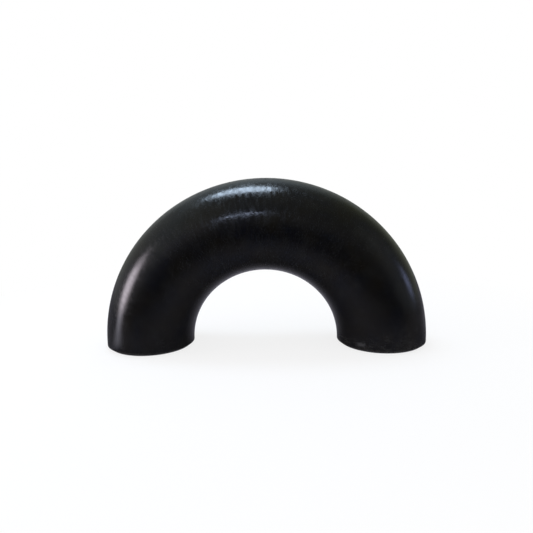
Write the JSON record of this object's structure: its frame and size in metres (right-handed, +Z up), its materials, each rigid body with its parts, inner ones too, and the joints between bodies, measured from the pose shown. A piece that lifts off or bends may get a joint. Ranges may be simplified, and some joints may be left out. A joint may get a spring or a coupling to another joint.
{
  "type": "return bend",
  "caption": "Seamless butt-weld pipe return bend: a long-radius half-turn tube with bevelled weld ends, painted black.",
  "frame": {"origin": "midway between the two legs, on the plane of the end faces", "axes": "+X from the left leg's axis to the right leg's, +Y through the arch away from the viewer, +Z up from the end faces to the crown"},
  "size_m": [0.419, 0.1142, 0.2125],
  "materials": {
    "black_paint": "satin"
  },
  "bodies": {
    "root": {"return_bend": "black_paint"}
  },
  "joints": []
}
